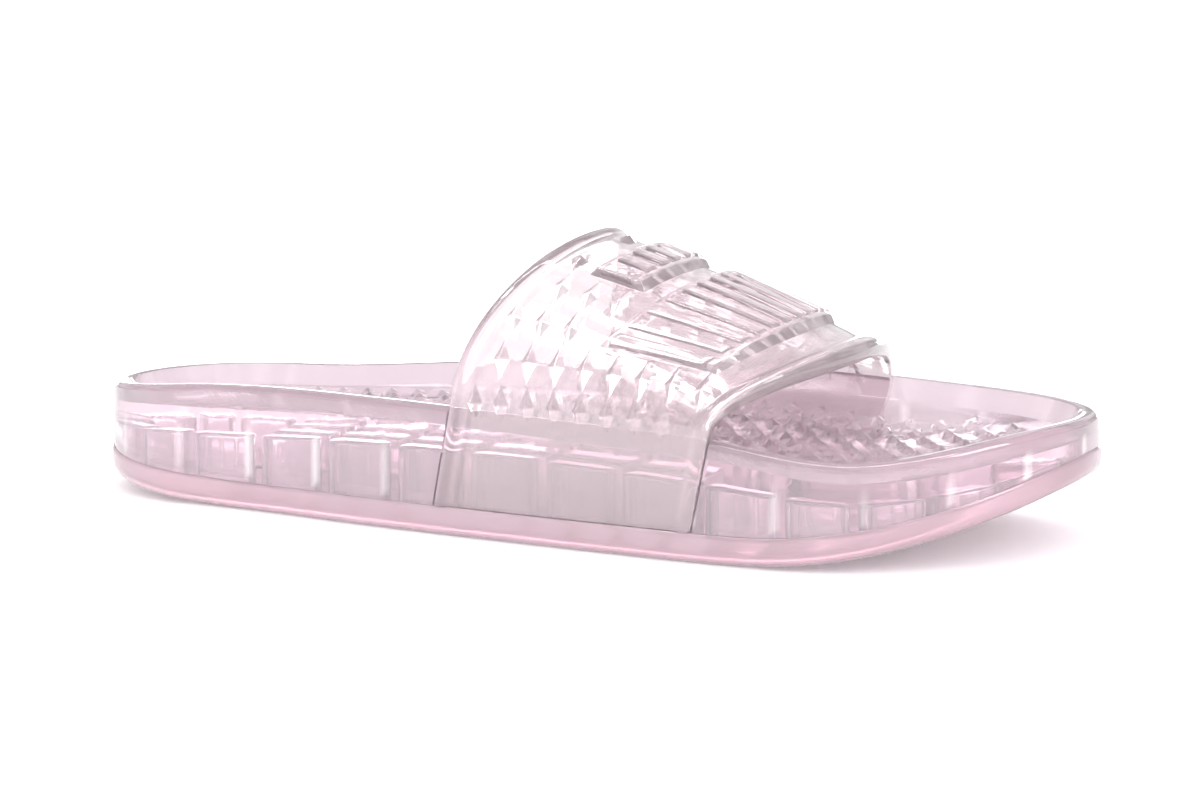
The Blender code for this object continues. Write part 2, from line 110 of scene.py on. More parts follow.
LEG_LEAN = 0.0045
CROWN_BULGE = 0.0012
BEAD_WIDTH = 0.0052
BEAD_RAISE = 0.0012
STUD_RAISE = 0.0014
STUD_LENGTH = 0.0042
STUD_HEIGHT = 0.0086
STUD_PITCH = 0.0076
STUD_ROW = 0.0112
PLATE_RAISE = 0.0018
BAR_RAISE = 0.0007
BAR_SINK = 0.0010
CLEARANCE = 0.0003
SHOULDER = 0.97
LEAN_POWER = 1.75

SOLE_COLUMNS = ("station", "lateral", "medial", "rim_lateral", "rim_medial", "footbed")
SOLE_SECTIONS = (
    (0.000, 0.355, 0.355, 0.875, 0.865, 0.700),
    (0.175, 0.350, 0.366, 0.985, 0.890, 0.715),
    (0.370, 0.420, 0.374, 1.005, 1.010, 0.780),
    (0.540, 0.465, 0.418, 0.970, 1.020, 0.780),
    (0.700, 0.497, 0.470, 0.920, 1.070, 0.710),
    (0.850, 0.515, 0.493, 0.795, 1.000, 0.640),
    (1.000, 0.430, 0.455, 0.985, 0.965, 0.850),
)
EDGE_COLUMNS = ("lateral", "medial", "top", "crown", "height", "lateral_fullness", "medial_fullness")
REAR_EDGE = (0.446, 0.478, 0.527, 0.022, 1.000, 2.75, 2.05)
FRONT_EDGE = (0.714, 0.762, 0.798, 0.010, 0.655, 2.45, 1.75)
PLATE_COLUMNS = ("lateral", "medial", "rear", "front", "bars")
PLATES = (
    (0.33, 0.67, 0.170, 0.385, 7),
    (0.16, 0.84, 0.430, 0.850, 14),
)
print("sole", LENGTH * 1000, "mm long, strap", STRAP_HEIGHT * 1000, "mm high")

# %% [markdown]
# ## The lines of the sole
#
# A last maker draws a sole as an outline, seen from above, and two heights all round it: the underside and
# the rim. Small functions give these lines at any place, so a smooth skin can take as many points as it
# needs. A spline could be drawn instead, but then the skin and the solid would drift apart.


# %% Lines of the sole
def smooth_step(share):
    share = np.clip(share, 0.0, 1.0)
    return share * share * (3.0 - 2.0 * share)


def section(column, x):
    """A column of SOLE_SECTIONS at the distance x from the heel."""
    stations = np.array([row[0] for row in SOLE_SECTIONS])
    values = np.array([row[SOLE_COLUMNS.index(column)] for row in SOLE_SECTIONS])
    slopes = np.gradient(values, stations)
    at = np.clip(np.asarray(x, float) / LENGTH, 0.0, 1.0)
    left = np.clip(np.searchsorted(stations, at, side="right") - 1, 0, len(stations) - 2)
    width = stations[left + 1] - stations[left]
    t = (at - stations[left]) / width
    start, end = (1 + 2 * t) * (1 - t) ** 2, t * t * (3 - 2 * t)
    rise, fall = width * t * (1 - t) ** 2, width * t * t * (1 - t)
    return values[left] * start + values[left + 1] * end + slopes[left] * rise - slopes[left + 1] * fall


def cap(x, toe_fullness):
    heel = np.clip(1.0 - np.asarray(x, float) / HEEL_RADIUS, 0.0, 1.0)
    toe = np.clip((x - (LENGTH - TOE_REACH)) / TOE_REACH, 0.0, 1.0)
    return np.sqrt(1.0 - heel**2) * (1.0 - toe**toe_fullness) ** (1.0 / toe_fullness)


def swing(x):
    start = LENGTH - 1.4 * TOE_REACH
    return TOE_SWING * np.clip((x - start) / (LENGTH - start), 0.0, 1.0) ** 2


def lateral(x):
    return section("lateral", x) * BALL_WIDTH * cap(x, LATERAL_TOE_FULLNESS) - swing(x)


def medial(x):
    return section("medial", x) * BALL_WIDTH * cap(x, MEDIAL_TOE_FULLNESS) + swing(x)


def bottom(x):
    heel = np.clip(1.0 - np.asarray(x, float) / HEEL_LIFT_REACH, 0.0, 1.0)
    toe = np.clip(1.0 - (LENGTH - np.asarray(x, float)) / TOE_SPRING_REACH, 0.0, 1.0)
    return HEEL_LIFT * heel**2 + TOE_SPRING * toe**2.5


def outsole_top(x):
    toe = smooth_step((np.asarray(x, float) - 0.62 * LENGTH) / (0.38 * LENGTH))
    return bottom(x) + OUTSOLE_THICKNESS + (OUTSOLE_TOE_THICKNESS - OUTSOLE_THICKNESS) * toe


def rim(x, y):
    middle = (medial(x) - lateral(x)) / 2
    share = smooth_step(0.5 + (y - middle) / (0.8 * BALL_WIDTH))
    return RIM_HEIGHT * (section("rim_lateral", x) * (1 - share) + section("rim_medial", x) * share)


def footbed(x, y, spread):
    middle = RIM_HEIGHT * section("footbed", x)
    return middle + (rim(x, y) - RECESS_DEPTH - middle) * spread**2.2


print("rim at the ball:", (rim(0.19, -0.03) * 1000).round(1), "mm")

# %% [markdown]
# ## Points round the sole
#
# The midsole is hollow below, with a rib every 21 mm. A row of points follows the outline so that some
# always fall on a rib's two faces, with more points near them, where the cells have round corners. Each
# ring of the skin is this row moved in towards the sole's middle line.


# %% Rings round the sole
def along(points, distances):
    closed = np.vstack([points, points[:1]])
    reach = np.concatenate([[0.0], np.cumsum(np.linalg.norm(np.diff(closed, axis=0), axis=1))])
    at = np.mod(distances, reach[-1])
    return np.column_stack([np.interp(at, reach, closed[:, i]) for i in range(2)])


turn = LENGTH * (1.0 - np.cos(np.linspace(0.0, math.pi, 1201))) / 2
lateral_side, medial_side = np.column_stack([turn, -lateral(turn)]), np.column_stack([turn, medial(turn)])
OUTLINE = np.vstack([lateral_side[:-1], medial_side[:0:-1]])
ROUND = float(np.linalg.norm(np.roll(OUTLINE, -1, axis=0) - OUTLINE, axis=1).sum())
CELLS = max(12, round(ROUND / CELL_PITCH))
MIDDLE = Vector((*((OUTLINE.min(axis=0) + OUTLINE.max(axis=0)) / 2), 0.0))

pitch = ROUND / CELLS
from_rib = np.array([0.0, 0.0004, 0.0011, 0.0021, 0.0033, 0.0048])
half = RIB / 2
offsets = np.concatenate([[-half, 0.0], half + from_rib, [pitch / 2], pitch - half - from_rib[:0:-1]])
PER_CELL = len(offsets)
EDGE = along(OUTLINE, (pitch * (FIRST_RIB + np.arange(CELLS))[:, None] + offsets).ravel())
FROM_RIB = np.tile(np.clip(np.minimum(offsets - half, pitch - half - offsets), 0.0, None), CELLS)
print(CELLS, "cells,", len(EDGE), "points round the sole")


def inward(distance, share=0.0):
    """The points round the sole, moved in by a distance and then a share of the way to its middle line."""
    x = np.clip(EDGE[:, 0], HEEL_RADIUS, LENGTH - TOE_REACH)
    way = np.column_stack([x, (medial(x) - lateral(x)) / 2]) - EDGE
    first = np.minimum(distance / np.linalg.norm(way, axis=1), 0.8)[:, None]
    return EDGE + way * (first + (1.0 - first) * share)


def ring(flat, height):
    z = height(flat[:, 0], flat[:, 1]) if callable(height) else height
    return np.column_stack([flat, z])


# %% [markdown]
# ## How a skin is built up
#
# A potter builds a wall ring by ring. In Blender the same is done with a circle: its edge is extruded, the
# new edge is moved to its place, and so on until the last ring, which is filled. Every point keeps the
# number of its column in an attribute, which extrude copies, so each new ring knows which point is which.


# %% Build a skin from rings
CREASE_ANGLE = 35


def deselect_all():
    if bpy.context.mode != "OBJECT":
        bpy.ops.object.mode_set(mode="OBJECT")
    bpy.ops.object.select_all(action="DESELECT")


def only(piece):
    deselect_all()
    piece.select_set(True)
    bpy.context.view_layer.objects.active = piece


def skin(name, rings):
    """Extrudes a circle through rings of points and closes both ends."""
    deselect_all()
    bpy.ops.mesh.primitive_circle_add(vertices=len(rings[0]), radius=1.0, location=(0, 0, 0))
    piece = bpy.context.object
    piece.name = name
    bpy.ops.object.mode_set(mode="EDIT")
    mesh = bmesh.from_edit_mesh(piece.data)
    column, row = mesh.verts.layers.int.new("column"), mesh.verts.layers.int.new("row")
    for number, vertex in enumerate(mesh.verts):
        vertex[column] = number
        vertex.co = rings[0][number]
    bpy.ops.mesh.select_all(action="SELECT")
    bpy.ops.mesh.edge_face_add()
    bpy.ops.mesh.select_mode(type="EDGE")
    for number, points in enumerate(rings[1:], start=1):
        bpy.ops.mesh.extrude_edges_move()
        mesh = bmesh.from_edit_mesh(piece.data)
        column, row = mesh.verts.layers.int["column"], mesh.verts.layers.int["row"]
        for vertex in mesh.verts:
            if vertex.select:
                vertex[row] = number
                vertex.co = points[vertex[column]]
    bpy.ops.mesh.fill()
    bpy.ops.mesh.select_all(action="SELECT")
    bpy.ops.mesh.normals_make_consistent(inside=False)
    bpy.ops.object.mode_set(mode="OBJECT")
    return piece


def close_up(piece):
    """Faces outwards, the sole's middle at the origin, smooth shading between creases."""
    only(piece)
    bpy.ops.object.mode_set(mode="EDIT")
    bpy.ops.mesh.select_all(action="SELECT")
    bpy.ops.mesh.normals_make_consistent(inside=False)
    bpy.ops.object.mode_set(mode="OBJECT")
    piece.location = -MIDDLE
    bpy.ops.object.transform_apply(location=True, rotation=False, scale=False)
    bpy.ops.object.shade_smooth_by_angle(angle=math.radians(CREASE_ANGLE))


def combine(piece, other, operation):
    """Joins or cuts with a second closed shape, which is then deleted."""
    only(piece)
    modifier = piece.modifiers.new(operation.title(), "BOOLEAN")
    modifier.operation, modifier.solver, modifier.object = operation, "EXACT", other
    bpy.ops.object.modifier_apply(modifier=modifier.name)
    only(other)
    bpy.ops.object.delete()


print("ready to build")

# %% [markdown]
# ## The outsole
#
# The pinker bottom layer is a plate with a round lower edge, a narrow ledge all round and cross grooves.
# Its skin is one stack of rings: under the sole, round its edge, and back over its flat top, where the
# midsole stands. It could be a flat shape given thickness, but then its toe would not curl up.

# %% Model the outsole
INNER = CELL_WALL + CELL_DEPTH + RIB
STAND = ((INNER, 0.80), (INNER, 0.0), (CELL_WALL + CELL_DEPTH, 0.0), (CELL_WALL, 0.0), (LEDGE, 0.0))


def round_corner(radius):
    """How far a cell's wall has turned away at each point, near the cell's upright corners."""
    left = np.clip(radius - FROM_RIB, 0.0, radius)
    return radius - np.sqrt(radius**2 - left**2)


def stand_rings(gap, corner=0.0):
    rings = []
    for number, (distance, share) in enumerate(STAND):
        turned = round_corner(corner) if corner and number in (2, 3) else 0.0
        flat = inward(distance + (turned if number == 3 else -turned), share)
        rings.append(ring(flat, outsole_top(flat[:, 0]) + gap))
    return rings


underside, ledge = bottom(EDGE[:, 0]), outsole_top(EDGE[:, 0])
rings = [ring(inward(FLAT_INSET, share), lambda x, y: bottom(x)) for share in (0.75, 0.35, 0.0)]
for angle in (0, 15, 30, 45, 60, 75, 90):
    turn_in = 1 - math.sin(math.radians(angle))
    lift = (1 - math.cos(math.radians(angle))) * 0.55
    rings.append(ring(inward(EDGE_ROUNDING * turn_in), underside + (ledge - underside) * lift))
rings += [ring(EDGE, underside + (ledge - underside) * 0.84)]
for distance, lift in ((0.00008, 0.93), (0.00025, 0.98), (0.00045, 1.0)):
    rings.append(ring(inward(distance), underside + (ledge - underside) * lift))
outsole = skin("outsole_skin", rings + stand_rings(0.0)[::-1])
print("outsole", len(outsole.data.polygons), "faces")

# %% [markdown]
# The tread is a row of shallow cross grooves under the heel and the forefoot. Each is cut with a bar, as a
# mould maker would mill its opposite.

# %% Cut the tread
GROOVE_WIDTH = 0.0026
GROOVE_DEPTH = 0.0014
GROOVE_PITCH = 0.0105
GROOVE_SOFTNESS = 0.0005
TREAD_MARGIN = 0.0110
TREADS = ((0.17, 0.36), (0.50, 0.84))

bars = []
for start, end in TREADS:
    for x in np.linspace(start, end, max(2, round((end - start) * LENGTH / GROOVE_PITCH))) * LENGTH:
        low, high = -float(lateral(x)) + TREAD_MARGIN, float(medial(x)) - TREAD_MARGIN
        slope = math.atan(float(bottom(x + 0.001) - bottom(x - 0.001)) / 0.002)
        deselect_all()
        bpy.ops.mesh.primitive_cube_add(
            size=1.0,
            location=(x, (low + high) / 2, float(bottom(x))),
            rotation=(0, -slope, 0),
            scale=(GROOVE_WIDTH, high - low, 2 * GROOVE_DEPTH),
        )
        bars.append(bpy.context.object)
        bpy.ops.object.mode_set(mode="EDIT")
        bpy.ops.mesh.select_all(action="SELECT")
        bpy.ops.mesh.bevel(offset=GROOVE_SOFTNESS, segments=2)
        bpy.ops.object.mode_set(mode="OBJECT")
deselect_all()
for bar in bars:
    bar.select_set(True)
bpy.context.view_layer.objects.active = bars[0]
bpy.ops.object.transform_apply(location=True, rotation=True, scale=True)
bpy.ops.object.join()
combine(outsole, bars[0], "DIFFERENCE")
close_up(outsole)
print(len(bars), "grooves cut")

# %% [markdown]
# ## The midsole with its footbed
#
# The pale middle is one moulding: side wall, round rim, the slope down to the footbed, and hollow cells
# below. Where the ribs between the cells meet the outer wall, light streaks show through the side, so the
# cells are modelled; a painted highlight, set out further down, adds the rest of each streak. The rings
# run from the middle of the underside, round the rim, and back to the middle of the footbed. Then the
# cells' faces are extruded up into the body.

# %% Model the midsole
draft = LEDGE + SIDE_DRAFT
top = rim(EDGE[:, 0], EDGE[:, 1])
BOND = 0.00006
stand = outsole_top(EDGE[:, 0]) + BOND
CORNER = 0.0042
rings = stand_rings(BOND, CORNER)
for share in (0.02, 0.12, 0.26, 0.40, 0.52, 0.62, 0.80):
    rings.append(ring(inward(LEDGE + SIDE_DRAFT * share), stand + (top - RIM_ROUNDING - stand) * share))
for angle in (0, 22, 45, 67, 90):
    turned = math.radians(angle)
    inset, drop = RIM_ROUNDING * (1 - math.cos(turned)), RIM_ROUNDING * (1 - math.sin(turned))
    rings.append(ring(inward(draft + inset), top - drop))
for distance, drop in ((0.62, 0.0), (0.86, 0.02), (1.0, 0.12)):
    rings.append(ring(inward(draft + RIM_WIDTH * distance), top - RIM_ROUNDING * drop))
floor_edge = draft + RIM_WIDTH + RIM_SLOPE
for share in (0.15, 0.35, 0.6, 0.82, 0.95):
    flat = inward(draft + RIM_WIDTH + RIM_SLOPE * share)
    rings.append(ring(flat, top - 0.1 * RIM_ROUNDING - (RECESS_DEPTH - 0.1 * RIM_ROUNDING) * share))
BED_SHARES = (0.0, 0.28, 0.58, 0.84)
BED_SPREADS = (1.0, 0.68, 0.36, 0.12)
for share in (0.04, 0.1, 0.2, 0.3, 0.42, 0.54, 0.66, 0.78, 0.88):
    flat = inward(floor_edge, share)
    spread = float(np.interp(share, BED_SHARES, BED_SPREADS))
    rings.append(ring(flat, footbed(flat[:, 0], flat[:, 1], spread)))
midsole = skin("midsole_skin", rings)
print("midsole", len(midsole.data.polygons), "faces")


# %% Push the cells up into the midsole
def cell_ceiling(x, y):
    roof = footbed(x, y, 0.5) - FOOTBED_THICKNESS
    return np.maximum(roof, outsole_top(x) + BOND + CELL_LEAST_HEIGHT)


straight = (EDGE[:, 0] > HEEL_RADIUS) & (EDGE[:, 0] < LENGTH - TOE_REACH)
whole = [bool(straight[cell * PER_CELL : (cell + 1) * PER_CELL].all()) for cell in range(CELLS)]
only(midsole)
bpy.ops.object.mode_set(mode="EDIT")
bpy.ops.mesh.select_mode(type="FACE")
bpy.ops.mesh.select_all(action="DESELECT")
mesh = bmesh.from_edit_mesh(midsole.data)
column, row = mesh.verts.layers.int["column"], mesh.verts.layers.int["row"]
for face in mesh.faces:
    columns = sorted(vertex[column] for vertex in face.verts)
    rows = {vertex[row] for vertex in face.verts}
    if len(columns) != 4 or rows not in ({0, 1}, {2, 3}):
        continue
    first = columns[-1] if columns[-1] - columns[0] > 1 else columns[0]
    cell, step = divmod(first, PER_CELL)
    if step >= 2 and (rows == {2, 3} or whole[cell]):
        face.select = True
bmesh.update_edit_mesh(midsole.data)
ROUND_CEILING = 0.0007
for setback, inset in ((1.0, 0.0), (0.29, 0.29), (0.0, 0.71)):
    if inset:
        bpy.ops.mesh.inset(thickness=inset * ROUND_CEILING, depth=0.0, use_boundary=True)
    else:
        bpy.ops.mesh.extrude_region_move()
    mesh = bmesh.from_edit_mesh(midsole.data)
    for vertex in mesh.verts:
        if vertex.select:
            vertex.co.z = float(cell_ceiling(vertex.co.x, vertex.co.y)) - setback * ROUND_CEILING
    bmesh.update_edit_mesh(midsole.data)
bpy.ops.object.mode_set(mode="OBJECT")
print("cells done,", len(midsole.data.polygons), "faces")

# %% [markdown]
# ## The lines of the strap
#
# The strap is an arch that starts on the two shoulders of the sole, with straight legs below. Its rear
# edge is high and its front edge low, and everything between is a blend of the two.


# %% Lines of the strap
LEG_STEPS, ARCH_STEPS = 10, 90


def edge_value(column, along_strap):
    at = EDGE_COLUMNS.index(column)
    return REAR_EDGE[at] + (FRONT_EDGE[at] - REAR_EDGE[at]) * along_strap


def strap_line(along_strap, out):
    """The strap's line over the foot at one place along it, out from its inner face, foot to foot."""
    shoulder = SHOULDER * RIM_HEIGHT
    inset = LEDGE + SIDE_DRAFT + STRAP_SEAT - out
    crown = edge_value("crown", along_strap) * BALL_WIDTH
    bulge = CROWN_BULGE * 4 * along_strap * (1 - along_strap)
    peak = edge_value("height", along_strap) * STRAP_HEIGHT + bulge - BEAD_RAISE - WALL + out
    peak_station = edge_value("top", along_strap) * LENGTH
    angle = np.linspace(0.0, math.pi / 2, ARCH_STEPS // 2 + 1)
    sides = []
    for side, half_width, sign in (("lateral", lateral, -1), ("medial", medial, 1)):
        station = edge_value(side, along_strap) * LENGTH
        fullness = edge_value(side + "_fullness", along_strap)
        across, rise = np.cos(angle) ** (2 / fullness), np.sin(angle) ** (2 / fullness)
        across[-1] = 0.0
        base = sign * (float(half_width(station)) - inset)
        x = peak_station + (station - peak_station) * (1 - rise**LEAN_POWER)
        arch = np.column_stack([x, crown + (base - crown) * across, shoulder + (peak - shoulder) * rise])
        foot = float(outsole_top(station - LEG_LEAN)) + CLEARANCE
        fall = np.linspace(1.0, 0.0, LEG_STEPS, endpoint=False)
        x = station - LEG_LEAN * fall
        leg = np.column_stack([x, sign * (half_width(x) - inset), shoulder + (foot - shoulder) * fall])
        sides.append(np.vstack([leg, arch]))
    return np.vstack([sides[0], sides[1][-2::-1]])


def walked(line):
    return np.concatenate([[0.0], np.cumsum(np.linalg.norm(np.diff(line, axis=0), axis=1))])


def on_strap(arch_share, along_strap, out):
    """A point over the strap: arch_share is 0 at the little-toe shoulder and 1 at the other."""
    line = strap_line(along_strap, out)
    reach = walked(strap_line(along_strap, WALL)[LEG_STEPS : len(line) - LEG_STEPS])
    at = LEG_STEPS + np.interp(arch_share * reach[-1], reach, np.arange(len(reach)))
    return Vector([float(np.interp(at, np.arange(len(line)), line[:, i])) for i in range(3)])


def arch_length(along_strap):
    return float(walked(strap_line(along_strap, WALL)[LEG_STEPS:-LEG_STEPS])[-1])


STRAP_LENGTH = (on_strap(0.5, 1.0, WALL) - on_strap(0.5, 0.0, WALL)).length
print("strap", round(STRAP_LENGTH * 1000, 1), "mm from front to back on top")


# %% [markdown]
# ## Seats for the strap's legs
#
# The legs lie in shallow recesses in the midsole's sides. The recess is the leg itself, a little larger,
# cut out with a Boolean.


# %% Cut the seats
def strap_rings(profile, count):
    """Loops of points from foot to foot, one for each place round the strap, for a profile of its cut."""
    line = strap_line(0.5, WALL)
    places = np.interp(np.linspace(0.0, walked(line)[-1], count), walked(line), np.arange(len(line)))
    lines = []
    for along_strap, out in profile:
        line = strap_line(along_strap, out)
        numbers = np.arange(len(line))
        lines.append(np.column_stack([np.interp(places, numbers, line[:, i]) for i in range(3)]))
    return np.transpose(np.array(lines), (1, 0, 2))


margin = CLEARANCE / STRAP_LENGTH
profile = [(-margin, share * 3 * WALL - CLEARANCE) for share in (0.0, 0.5, 1.0)]
profile += [(along_strap, 3 * WALL - CLEARANCE) for along_strap in (0.2, 0.4, 0.6, 0.8)]
profile += [(1 + margin, share * 3 * WALL - CLEARANCE) for share in (1.0, 0.5, 0.0)]
profile += [(along_strap, -CLEARANCE) for along_strap in (0.85, 0.7, 0.55, 0.4, 0.25, 0.1)]
loops = strap_rings(profile, 140)
drop = np.array([0.0, 0.0, OUTSOLE_THICKNESS])
loops = np.concatenate([[loops[0] - drop], loops, [loops[-1] - drop]])
combine(midsole, skin("seat_cutter", list(loops)), "DIFFERENCE")
print("midsole with seats", len(midsole.data.polygons), "faces")

# %% [markdown]
# ## Studs
#
# The footbed and the strap carry the same low stud: a rhombus with its long way across the foot and a
# blunt tip. It is a four-sided cone, stretched and bevelled, and each place gets a copy. Standing copies
# on the surface by eye would be slow, so each one asks the surface for its height and tilt.


# %% Model one stud and set out copies
STUD_SINK = 0.0004
STUD_SOFTNESS = 0.00022


def make_stud(name, rise):
    half_length, half_width, sink = STUD_LENGTH / 2, STUD_HEIGHT / 2, STUD_SINK
    deselect_all()
    bpy.ops.mesh.primitive_cone_add(vertices=4, radius1=1.0, radius2=0.07, depth=1.0, location=(0, 0, 0))
    stud = bpy.context.object
    stud.name = name
    stud.scale = (half_length * (1 + sink / rise), half_width * (1 + sink / rise), rise + sink)
    stud.location = (0, 0, (rise - sink) / 2)
    bpy.ops.object.transform_apply(location=True, rotation=True, scale=True)
    bpy.ops.object.mode_set(mode="EDIT")
    bpy.ops.mesh.select_all(action="DESELECT")
    mesh = bmesh.from_edit_mesh(stud.data)
    for edge in mesh.edges:
        low, high = sorted(vertex.co.z for vertex in edge.verts)
        edge.select = high > 0.5 * rise
    bmesh.update_edit_mesh(stud.data)
    bpy.ops.mesh.bevel(offset=STUD_SOFTNESS, segments=2)
    bpy.ops.object.mode_set(mode="OBJECT")
    return stud


def set_out(stud, name, places):
    """One piece of many copies of the stud, each with its foot on a point and its tip along a normal."""
    copies = []
    for point, normal, forward in places:
        copy = bpy.data.objects.new(name, stud.data.copy())
        bpy.context.scene.collection.objects.link(copy)
        up = normal.normalized()
        side = up.cross(forward).normalized()
        copy.matrix_world = Matrix((side.cross(up), side, up)).transposed().to_4x4()
        copy.location = point
        copies.append(copy)
    deselect_all()
    for copy in copies:
        copy.select_set(True)
    bpy.context.view_layer.objects.active = copies[0]
    bpy.ops.object.transform_apply(location=True, rotation=True, scale=True)
    bpy.ops.object.join()
    only(stud)
    bpy.ops.object.delete()
    return copies[0]


# %% Studs on the footbed
BED_STUD_RAISE = 0.0013
BED_MARGINS = (0.013, 0.014)
only(midsole)
bpy.context.view_layer.update()
places = []
rows_across = round(BALL_WIDTH / STUD_ROW) + 2
for row_number in range(-rows_across, rows_across + 1):
    x = BED_MARGINS[0] + (0.5 * STUD_PITCH if row_number % 2 else 0.0)
    while x < LENGTH - BED_MARGINS[1]:
        y = float(medial(x) - lateral(x)) / 2 + row_number * STUD_ROW * 0.5
        room = np.linalg.norm(OUTLINE - (x, y), axis=1).min()
        inside = -float(lateral(x)) < y < float(medial(x))
        if inside and room > floor_edge + 0.62 * STUD_HEIGHT:
            hit, point, normal, _ = midsole.ray_cast(Vector((x, y, 0.1)), Vector((0, 0, -1)))
            if hit:
                places.append((point, normal, Vector((1, 0, 0))))
        x += STUD_PITCH
stud = make_stud("bed_stud", BED_STUD_RAISE)
combine(midsole, set_out(stud, "bed_studs", places), "UNION")
close_up(midsole)
print(len(places), "studs on the footbed,", len(midsole.data.polygons), "faces")

# %% [markdown]
# ## Painted light streaks
#
# Each rib shows at the outer wall as a short bright streak of light. The modelled cells give it only in
# part, so the rest is painted: the wall's points near a rib carry a number, and the plastic reads it to
# paint a highlight and a faint glow there. No two painted streaks are equally bright.

# %% Mark the painted light streaks
PAINTED_STREAK_WIDTH = 0.0036
PAINTED_STREAK_HEIGHTS = (0.03, 0.12, 0.50, 0.62)

RIBS = along(OUTLINE, pitch * (FIRST_RIB + np.arange(CELLS)))
# Wall points near each rib get a share of the painted highlight.
painted_streak = midsole.data.attributes.new("painted_streak", "FLOAT", "POINT")
lit = 0
for vertex in midsole.data.vertices:
    x, y, z = vertex.co + MIDDLE
    away = np.linalg.norm(RIBS - (x, y), axis=1)
    rib = int(away.argmin())
    if away[rib] > PAINTED_STREAK_WIDTH / 2 or np.linalg.norm(OUTLINE - (x, y), axis=1).min() > 1.5 * draft:
        continue
    low = float(outsole_top(x))
    height = (z - low) / (float(rim(x, y)) - low)
    upright = float(np.interp(height, PAINTED_STREAK_HEIGHTS, (0.0, 1.0, 1.0, 0.0)))
    strength = 0.65 + 0.35 * math.sin(5.0 * rib)
    painted_streak.data[vertex.index].value = strength * upright * (1 - (2 * away[rib] / PAINTED_STREAK_WIDTH) ** 2)
    lit += 1
print(len(RIBS), "streaks on", lit, "points")

# %% [markdown]
# ## The strap
#
# One wall, 3 mm thick, runs over the foot from ledge to ledge. Its cut from front to back is drawn once,
# with a rolled bead at each edge, and swept over the arch: the same ring by ring build as for the sole.

# %% Model the strap
full = WALL + BEAD_RAISE
BEAD = ((0.0, 0.40), (0.015, 0.58), (0.06, 0.76), (0.14, 0.90), (0.26, 0.98), (0.40, 1.0))
BEAD += ((0.54, 0.97), (0.68, 0.885), (0.80, 0.80), (0.92, 0.735))
rear = [(share * BEAD_WIDTH, out * full) for share, out in BEAD] + [(1.06 * BEAD_WIDTH, WALL)]
field = [(STRAP_LENGTH * share, WALL) for share in np.linspace(0.14, 0.86, 19)]
front = [(STRAP_LENGTH - place, out) for place, out in reversed(rear)]
BACK = ((0.0, 0.20), (0.03, 0.10), (0.10, 0.03), (0.20, 0.0))
inner = [(share * BEAD_WIDTH, out * WALL) for share, out in BACK]
under = [(STRAP_LENGTH - place, out) for place, out in inner]
under += [(STRAP_LENGTH * share, 0.0) for share in np.linspace(0.92, 0.08, 16)] + inner[::-1]
profile = [(place / STRAP_LENGTH, out) for place, out in rear + field + front + under]
strap = skin("strap_skin", list(strap_rings(profile, 190)))
print("strap", len(strap.data.polygons), "faces")

# %% [markdown]
# Rows of the rhombic studs cover the strap wherever the plates leave room, every second row half a step
# along.


# %% Studs on the strap
def on_plate(share, along_strap):
    round_margin = 0.6 * STUD_HEIGHT / arch_length(0.5)
    along_margin = 0.7 * STUD_LENGTH / STRAP_LENGTH
    for row in PLATES:
        plate = dict(zip(PLATE_COLUMNS, row))
        beside = plate["lateral"] - round_margin < share < plate["medial"] + round_margin
        if beside and plate["rear"] - along_margin < along_strap < plate["front"] + along_margin:
            return True
    return False


rows_round = max(3, round(arch_length(0.0) / STUD_ROW))
first = (BEAD_WIDTH + 0.6 * STUD_LENGTH) / STRAP_LENGTH
stud_count = 0
for row_number, share in enumerate(np.linspace(0.25 / rows_round, 1 - 0.25 / rows_round, rows_round)):
    places = []
    along_strap = first + (0.5 * STUD_PITCH / STRAP_LENGTH if row_number % 2 else 0.0)
    while along_strap < 1 - first:
        if not on_plate(share, along_strap):
            point = on_strap(share, along_strap, WALL)
            around = on_strap(share + 0.01, along_strap, WALL) - on_strap(share - 0.01, along_strap, WALL)
            forward = on_strap(share, along_strap + 0.03, WALL) - on_strap(share, along_strap - 0.03, WALL)
            normal = forward.cross(around).normalized()
            if normal.dot(on_strap(share, along_strap, 2 * WALL) - point) < 0:
                normal = -normal
            places.append((point, normal, forward.normalized()))
        along_strap += STUD_PITCH / STRAP_LENGTH
    if places:
        stud = make_stud("strap_stud", STUD_RAISE)
        combine(strap, set_out(stud, "strap_studs", places), "UNION")
        stud_count += len(places)
print(stud_count, "studs on the strap,", len(strap.data.polygons), "faces")

# %% [markdown]
# On top lie two plain raised plates with bars along the foot. Each is a flat grid that is bent over the
# strap and then extruded down into it. The real shoe has a moulded motif here, and plain bars keep its
# relief and its sparkle without drawing it.


# %% Plates and bars
PAD_SOFTNESS = 0.00028
PAD_CREASE_ANGLE = 30


